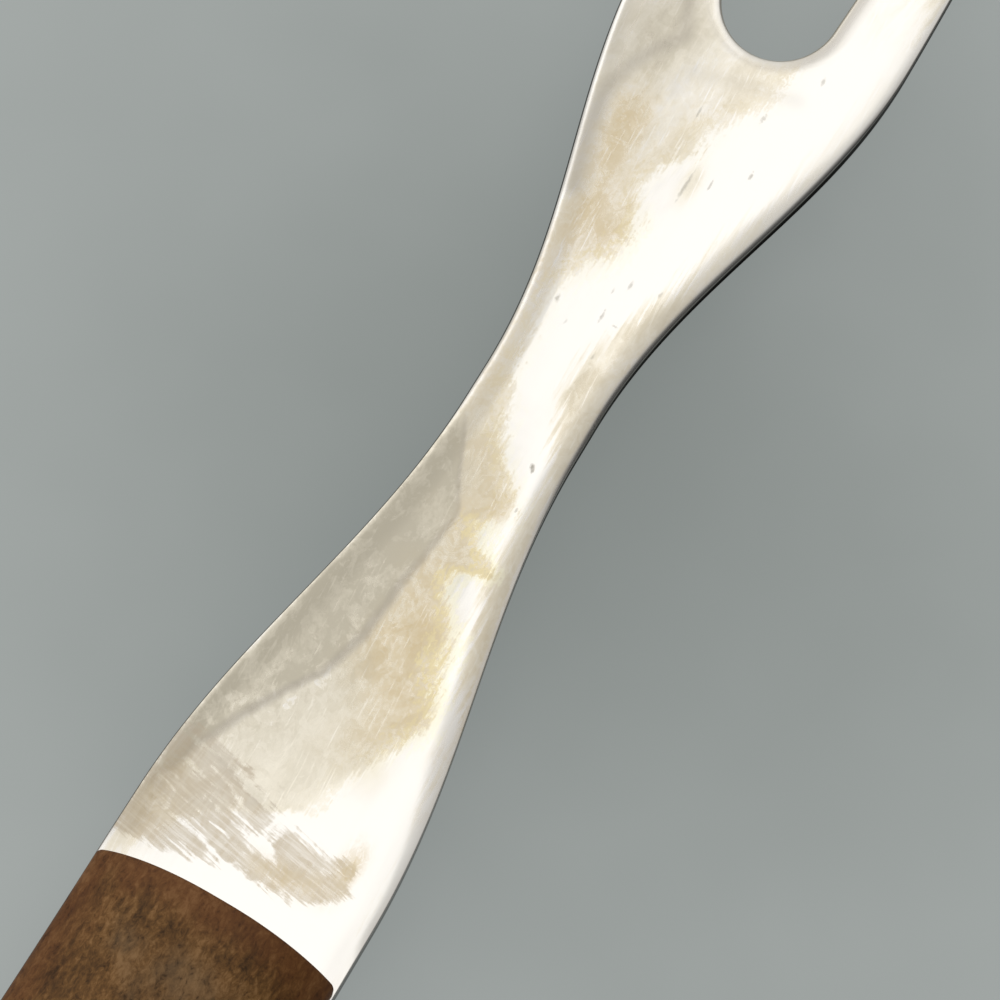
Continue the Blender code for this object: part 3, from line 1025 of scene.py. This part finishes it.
def steel_places(g, noises):
    """Where a point of the blade lies: in millimetres, and by the ragged lines between its marks."""
    at = SimpleNamespace()
    at.ahead, at.left = g.axes()
    at.upward = g.upward()
    at.upper = g.step(at.upward, -0.2, 0.2)
    at.above = g.math("SUBTRACT", g.line(at.ahead, CLEAN_TOP), at.left)
    fray = g.weighted((noises.mottle, 4.5), (noises.brush, 3.5), (noises.speck, 4.0))
    at.frayed = g.math("ADD", at.above, g.math("SUBTRACT", fray, 6.0))
    at.ragged_above = g.step(at.frayed, -0.5, 0.5, 1.0, 0.0)
    below = g.math("SUBTRACT", at.left, g.line(at.ahead, CLEAN_LOW))
    streaky = g.weighted((below, 1.0), (noises.brush, 5.0), (noises.mottle, 2.0), (noises.speck, 1.5))
    at.ragged_below = g.step(streaky, 3.5, 5.0, 1.0, 0.0)
    past_contour = g.math("SUBTRACT", at.left, g.line(at.ahead, CONTOUR_SHADE_LINE))
    past_contour = g.math("ADD", past_contour, g.weighted((noises.mottle, 0.8), (noises.patch, 0.4)))
    at.off_tide = g.off(past_contour, 0.6)
    at.shoulder = g.step(at.ahead, 44.0, 47.0, 1.0, 0.0)
    # Past the contour line the film is raised, which paints shade on that side
    at.beyond = g.product(g.step(past_contour, 0.3, 1.1), at.shoulder)
    return at


def contour_shade(g, at):
    """Painted shade along the contour line, where the edge of a reflection crosses the shoulder, finer
    towards the neck.
    """
    reach = g.step(at.ahead, 28.0, 40.0, 0.75, 0.42)
    strength = g.step(at.ahead, 28.0, 42.0, 0.6, 0.38)
    line = g.step(at.off_tide, 0.0, reach, strength, 0.0)
    return g.product(line, at.shoulder, g.step(at.ahead, 7.0, 15.0), at.upper)


def film_amount(g, noises, at):
    """Greyish film on both sides of the clean streak, and all over the underside."""
    level = g.weighted((at.ragged_above, 0.6), (g.step(at.above, -1.2, 0.4, 1.0, 0.0), 0.4))
    film = g.product(level, g.line(at.ahead, FILM_TOP))
    film_low = g.product(at.ragged_below, g.line(at.ahead, FILM_LOW))
    clouds = g.weighted((noises.mottle, 0.5), (noises.streak, 0.5))
    haze = g.product(g.step(clouds, 0.42, 0.6), g.step(at.ahead, 90.0, 104.0, 0.0, 0.3))
    blotted = g.attribute("film")
    # The side past the contour line adds painted shade to the film
    film = g.weighted((film, 1.0), (film_low, 1.0), (at.beyond, 0.48), (blotted, 0.9), (haze, 1.0))
    film = g.weighted((g.product(film, at.upper), 1.0), (g.math("SUBTRACT", 1.0, at.upper), 0.35))
    lumps = g.weighted(
        (g.step(noises.mottle, 0.42, 0.58), 0.2),
        (g.step(noises.patch, 0.47, 0.53), 0.2),
        (g.step(noises.speck, 0.4, 0.6), 0.12),
    )
    film = g.product(film, g.math("ADD", lumps, 0.74))
    # Less film on worn edges; less beside the tines' gap, which lightens a band there as painted reflection
    return g.weighted((film, 1.0), (g.attribute("edge"), -0.7), (g.attribute("gap"), -0.3))


def broken_film(g, noises, at, film):
    """The film with flecks along the painted contour line, scratches through it and smoky clouds in it."""
    near_contour = g.product(
        g.step(at.off_tide, 1.0, 5.0, 1.0, 0.0),
        g.step(at.ahead, 11.0, 14.0),
        g.step(at.ahead, 20.0, 34.0, 1.0, 0.25),
    )
    bare = g.step(noises.fleck, 0.55, 0.59)
    dark = g.step(noises.fleck, 0.4, 0.44, 1.0, 0.0)
    flecks = g.weighted((bare, -0.26), (dark, 0.16))
    film = g.weighted((film, 1.0), (g.product(flecks, near_contour), 1.0))
    film = g.math("SUBTRACT", film, g.step(noises.scratch, 0.58, 0.72, 0.0, 0.2))
    smoke = g.weighted((noises.mottle, 0.55), (noises.streak, 0.45))
    smoke = g.product(g.math("SUBTRACT", smoke, 0.5), g.step(at.ahead, 44.0, 60.0, 0.0, 1.1))
    return g.math("ADD", film, g.product(smoke, g.step(film, 0.03, 0.2)), True)


def stain_amount(g, noises, at):
    """Brown stain beside the clean streak, broken by scratches and pale veins."""
    stain_top = g.product(
        g.step(at.above, -7.0, -1.2),
        at.ragged_above,
        g.line(at.ahead, STAIN_TOP),
        g.step(at.beyond, 0.0, 1.0, 1.0, 0.15),
    )
    stain_low = g.product(at.ragged_below, g.line(at.ahead, STAIN_LOW))
    stain = g.weighted((stain_top, 1.0), (stain_low, 1.0), (g.attribute("stain"), 1.0))
    blotchy = g.weighted(
        (g.step(noises.patch, 0.44, 0.56), 0.45),
        (g.step(noises.mottle, 0.42, 0.58), 0.4),
        (g.step(noises.speck, 0.38, 0.62), 0.45),
    )
    veins = g.step(g.off(noises.patch, 0.5), 0.004, 0.016, 1.0, 0.0)
    stain = g.product(
        stain,
        at.upper,
        g.math("ADD", blotchy, 0.18),
        g.step(noises.scratch, 0.57, 0.68, 1.0, 0.35),
        g.step(veins, 0.0, 1.0, 1.0, 0.45),
    )
    return g.math("SUBTRACT", 1.0, g.math("EXPONENT", g.product(stain, -1.2)), True)


def highlight_fringes(g, noises, at):
    """Painted highlight: the golden fringe of the clean streak, with glinting grit, and the pale halo beside
    it.
    """
    level = g.product(at.upper, g.line(at.ahead, FRINGE_HIGHLIGHT_LEVEL))
    fringe = g.step(g.off(at.frayed, -0.6), 0.3, 1.1, 1.0, 0.0)
    grit = g.step(g.weighted((noises.speck, 1.0), (noises.patch, 0.6)), 0.68, 0.88)
    halo = g.step(g.off(at.frayed, 0.5), 0.2, 1.1, 0.65, 0.0)
    return g.product(fringe, grit, level), g.product(halo, level)


def scrub_amount(g, noises, at):
    """Strokes of grime across the shoulder; the scrub attribute says where they hold."""
    hold = g.attribute("scrub")
    level = g.weighted((noises.bands, 1.1), (noises.flames, -0.8), (noises.patch, 0.6), (hold, 0.45))
    strokes = g.step(level, 0.72, 0.88, 0.0, 0.95)
    hairs = g.step(noises.bristle, 0.42, 0.64, 1.0, 0.6)
    return g.product(strokes, g.step(hold, 0.0, 0.25), at.upper, hairs)


def wall_amount(g, at):
    """1 on the blade's side walls, 0 on its faces."""
    flat = g.weighted((g.math("ABSOLUTE", at.upward), 1.0), (g.attribute("gap"), 0.5))
    return g.step(flat, 0.3, 0.7, 1.0, 0.0)


def nick_shade_amount(g, noises, at):
    """Painted shade of small dents on the upper face, with ragged edges; the mesh is not dented."""
    found = None
    for ahead, left, along, across, darkness in NICKS:
        centre = (JOINT_X + ahead * MM, left * MM)
        length = g.ellipse(centre, (along * MM, across * MM))
        inside = g.step(g.weighted((length, 1.0), (noises.speck, 2.6)), 1.5, 2.5, darkness, 0.0)
        found = inside if found is None else g.math("MAXIMUM", found, inside)
    return g.product(found, g.step(at.upward, 0.2, 0.6))


def edge_shade_amount(g, at):
    """Painted shade: fine dark lines along both edges of the upper face."""
    edge = g.attribute("edge")
    on_left = g.product(g.step(edge, 0.88, 0.96), g.step(at.left, 2.0, 4.0, 0.0, 0.85))
    on_right = g.product(
        g.step(edge, 0.7, 0.92),
        g.step(at.left, -4.0, -2.0, 0.6, 0.0),
        g.step(at.ahead, 42.0, 52.0),
    )
    return g.product(g.math("MAXIMUM", on_left, on_right), g.step(at.upward, 0.05, 0.3))


def steel_colour(g, noises, at, film, stain, scrub, wall):
    gap = g.attribute("gap")
    glow, halo = highlight_fringes(g, noises, at)
    grime = g.mix(g.step(noises.streak, 0.42, 0.58), *GRIME_COLOURS)
    # Painted reflection: a pale band beside the tines' gap, greyer to the right
    gap_reflection = g.mix(g.step(at.left, -5.0, -2.0), *GAP_REFLECTION_COLOURS)
    # Mostly lines of painted shade, kept in the shade attribute, with one grime stroke
    shade = g.product(g.attribute("shade"), 0.6, at.upper)
    # The side walls are painted darker, most of all past the shoulder: painted shade
    ground = g.mix(g.step(noises.brush, 0.35, 0.65), *WALL_SHADE_COLOURS)
    wall_shade = g.mix(g.step(at.ahead, 26.0, 46.0), ground, DEEP_WALL_SHADE)
    lip = g.product(g.step(gap, 0.9, 0.985, 0.0, 0.4), g.step(at.upward, 0.05, 0.3))
    layers = (
        (scrub, grime),
        (stain, STAIN_COLOUR),
        (halo, HALO_HIGHLIGHT_COLOUR),
        (g.product(glow, 0.85), FRINGE_HIGHLIGHT_COLOUR),
        (g.product(gap, 0.7), gap_reflection),
        # Painted shade: the contour line and the shade lines
        (g.math("MAXIMUM", contour_shade(g, at), shade), PAINTED_SHADE_COLOUR),
        (wall, wall_shade),
        (lip, LIP_COLOUR),
        (nick_shade_amount(g, noises, at), NICK_SHADE_COLOUR),
        (edge_shade_amount(g, at), EDGE_SHADE_COLOUR),
    )
    colour = g.ramp(film, *FILM_COLOURS)
    for share, tone in layers:
        colour = g.mix(share, colour, tone)
    return colour


def worn_steel():
    g = Graph(bpy.data.materials.new("worn_steel"))
    noises = steel_noises(g)
    at = steel_places(g, noises)
    film = broken_film(g, noises, at, film_amount(g, noises, at))
    stain = stain_amount(g, noises, at)
    scrub = scrub_amount(g, noises, at)
    wall = wall_amount(g, at)
    colour = steel_colour(g, noises, at, film, stain, scrub, wall)

    rough = g.weighted((film, 0.2), (scrub, 0.14), (stain, 0.18), (noises.brush, 0.06))
    rough = g.weighted((rough, 1.0), (g.attribute("gap"), 0.3), (g.attribute("fall"), 0.12))
    rough = g.math("ADD", rough, 0.1)
    swell = g.noise(110, 170, 3.0, 0.5)
    normal = g.bump(swell, 0.00004)
    normal = g.bump(noises.brush, 0.0000022, 1.0, normal)
    # A black specular tint on the walls darkens their grazing reflection: painted shade
    grazing_shade = g.mix(g.product(wall, g.step(at.ahead, 26.0, 46.0, 0.55, 1.0)), WHITE, BLACK)
    return g.finish(Base_Color=colour, Metallic=1.0, Roughness=rough, Specular_Tint=grazing_shade, Normal=normal)


def oiled_wood():
    g = Graph(bpy.data.materials.new("oiled_wood"))
    fibre = g.noise(120, 640, 8.0, 0.66, 0.5)
    cloud = g.noise(170, 230, 6.0, 0.6, 0.6)
    vein = g.noise(420, 640, 6.0, 0.64, 1.0, shift=(1.0, 4.0, 2.0))
    grain = g.noise(1500, 2300, 6.0, 0.72, 0.5)
    dust = g.noise(120, 160, 3.0, 0.5, shift=(9.0, 3.0, 5.0))

    tone = g.weighted((cloud, 0.75), (fibre, 0.5), (vein, 0.9), (grain, 1.2))
    colour = g.ramp(g.math("SUBTRACT", tone, 1.165), *WOOD_COLOURS)
    rim = g.attribute("rim")
    dusty = g.step(g.weighted((dust, 1.0), (grain, 0.4), (rim, -0.5)), 0.58, 0.9, 0.0, 0.5)
    colour = g.mix(dusty, colour, DUST_COLOUR)
    red = g.step(g.weighted((rim, 0.5), (fibre, 0.6)), 0.4, 0.8, 0.0, 0.5)
    colour = g.mix(red, colour, RED_WOOD)
    pores = g.step(g.weighted((grain, 1.0), (vein, 0.5)), 0.56, 0.66, 0.6, 0.0)
    colour = g.mix(pores, colour, PORE_COLOUR)

    rough = g.weighted((fibre, 0.2), (pores, 0.2))
    rough = g.math("ADD", rough, 0.45)
    normal = g.bump(fibre, 0.00004, 0.5)
    normal = g.bump(grain, 0.00003, 0.6, normal)
    return g.finish(Base_Color=colour, Roughness=rough, Specular_IOR_Level=0.15, Normal=normal)


def aged_brass():
    g = Graph(bpy.data.materials.new("aged_brass"))
    brush = g.noise(160, 5200, 4.0, 0.6)
    patina = g.noise(700, 700, 6.0, 0.62, 0.4)
    tarnish = g.step(g.weighted((patina, 1.0), (brush, 0.2)), 0.52, 0.72)
    colour = g.mix(tarnish, BRASS_COLOUR, TARNISH_COLOUR)
    rough = g.weighted((tarnish, 0.2), (brush, 0.1))
    rough = g.math("ADD", rough, 0.2)
    normal = g.bump(brush, 0.000004, 0.6)
    return g.finish(Base_Color=colour, Metallic=1.0, Roughness=rough, Normal=normal)


def make_floor():
    """Pale grey paper, painted darker towards a centre near the fork: painted shade. What the camera and the
    metal see of it is partly its own even tone.
    """
    work = bmesh.new()
    bmesh.ops.create_grid(work, x_segments=1, y_segments=1, size=FLOOR_SIZE)
    g = Graph(bpy.data.materials.new("floor_paper"))
    cloud = g.noise(25, 25, 3.0)
    reach = g.add("ShaderNodeVectorMath", operation="DISTANCE")
    g.put(reach.inputs[0], g.place)
    g.put(reach.inputs[1], FLOOR_CENTRE)
    outward = g.weighted((reach.outputs["Value"], 1 / FLOOR_SPREAD), (cloud, 0.5))
    # The paper's tone, with painted shade towards the centre
    paper = g.mix(g.step(outward, 0.25, 1.35), FLOOR_SHADE, FLOOR_COLOUR)
    g.finish(Base_Color=paper, Roughness=0.9)
    even = g.add("ShaderNodeEmission")
    g.put(even.inputs["Color"], paper)
    path = g.add("ShaderNodeLightPath")
    seen = g.math("MAXIMUM", path.outputs["Is Camera Ray"], path.outputs["Is Glossy Ray"])
    seen = g.math("MAXIMUM", seen, path.outputs["Is Transmission Ray"])
    blend = g.add("ShaderNodeMixShader")
    g.put(blend.inputs[0], g.math("MULTIPLY", seen, FLOOR_GLOW))
    g.put(blend.inputs[1], g.shader.outputs[0])
    g.put(blend.inputs[2], even.outputs[0])
    g.put(g.tree.nodes["Material Output"].inputs["Surface"], blend.outputs[0])
    floor = piece_from(work, "floor", g.owner)


def add_lamp(name, place, size, radiance):
    """A rectangular lamp that hangs level; radiance is how bright its face looks, where 1 is white."""
    data = bpy.data.lights.new(name, "AREA")
    data.shape = "RECTANGLE"
    data.size, data.size_y = size
    data.energy = radiance * math.pi * size[0] * size[1]
    data.color = WARM_WHITE
    lamp = add_object(name, data)
    lamp.location = place
    return lamp


def make_lamps():
    for name, (x_low, x_high), (y_low, y_high), radiance in LEVEL_LAMPS:
        place = ((x_low + x_high) / 2, (y_low + y_high) / 2, BLADE_Z + LAMP_RISE)
        add_lamp(name, place, (x_high - x_low, y_high - y_low), radiance)
    side = add_lamp("rim_left", SIDE_LAMP, SIDE_SIZE, SIDE_RADIANCE)
    way = Vector(SIDE_TARGET) - Vector(SIDE_LAMP)
    side.rotation_euler = way.to_track_quat("-Z", "Y").to_euler()


def make_world():
    """Even warm light from above and from the left, falling off low down on the fork's right."""
    world = bpy.data.worlds.new("studio")
    g = Graph(world)
    lift = g.add("ShaderNodeVectorMath", operation="DOT_PRODUCT")
    g.put(lift.inputs[0], g.coordinates.outputs["Generated"])
    g.put(lift.inputs[1], WORLD_RISE)
    light = g.mix(g.step(lift.outputs["Value"], *WORLD_FADE), DARK_SIDE, WORLD_COLOUR)
    g.put(g.tree.nodes["Background"].inputs["Color"], light)
    bpy.context.scene.world = world


def make_camera():
    """Looks down on the shoulder from over the handle, turned so that the fork runs up to the right."""
    back = Vector((-TILT_BACK, -TILT_SIDE, 1.0)).normalized()
    along = Vector((1.0, 0.0, 0.0))
    along = (along - along.dot(back) * back).normalized()
    across = along.cross(back)
    right = math.sin(TURN) * along + math.cos(TURN) * across
    up = math.cos(TURN) * along - math.sin(TURN) * across
    data = bpy.data.cameras.new("camera")
    data.lens = LENS
    data.sensor_width = SENSOR
    data.clip_start = CLIP_START
    camera = add_object("camera", data)
    turn = Matrix((right, up, back)).transposed().to_4x4()
    target = Vector((JOINT_X + TARGET_AHEAD, TARGET_LEFT, BLADE_Z + BLADE_THICKNESS / 2))
    camera.matrix_world = Matrix.Translation(target + back * DISTANCE) @ turn
    bpy.context.scene.camera = camera


make_blade(worn_steel())
wood = oiled_wood()
make_scale("upper_scale", "front_scale", 1, wood)
make_scale("lower_scale", "back_scale", -1, wood)
make_rivets(aged_brass())
make_floor()
make_lamps()
make_world()
make_camera()
bpy.context.scene.view_settings.view_transform = "Standard"
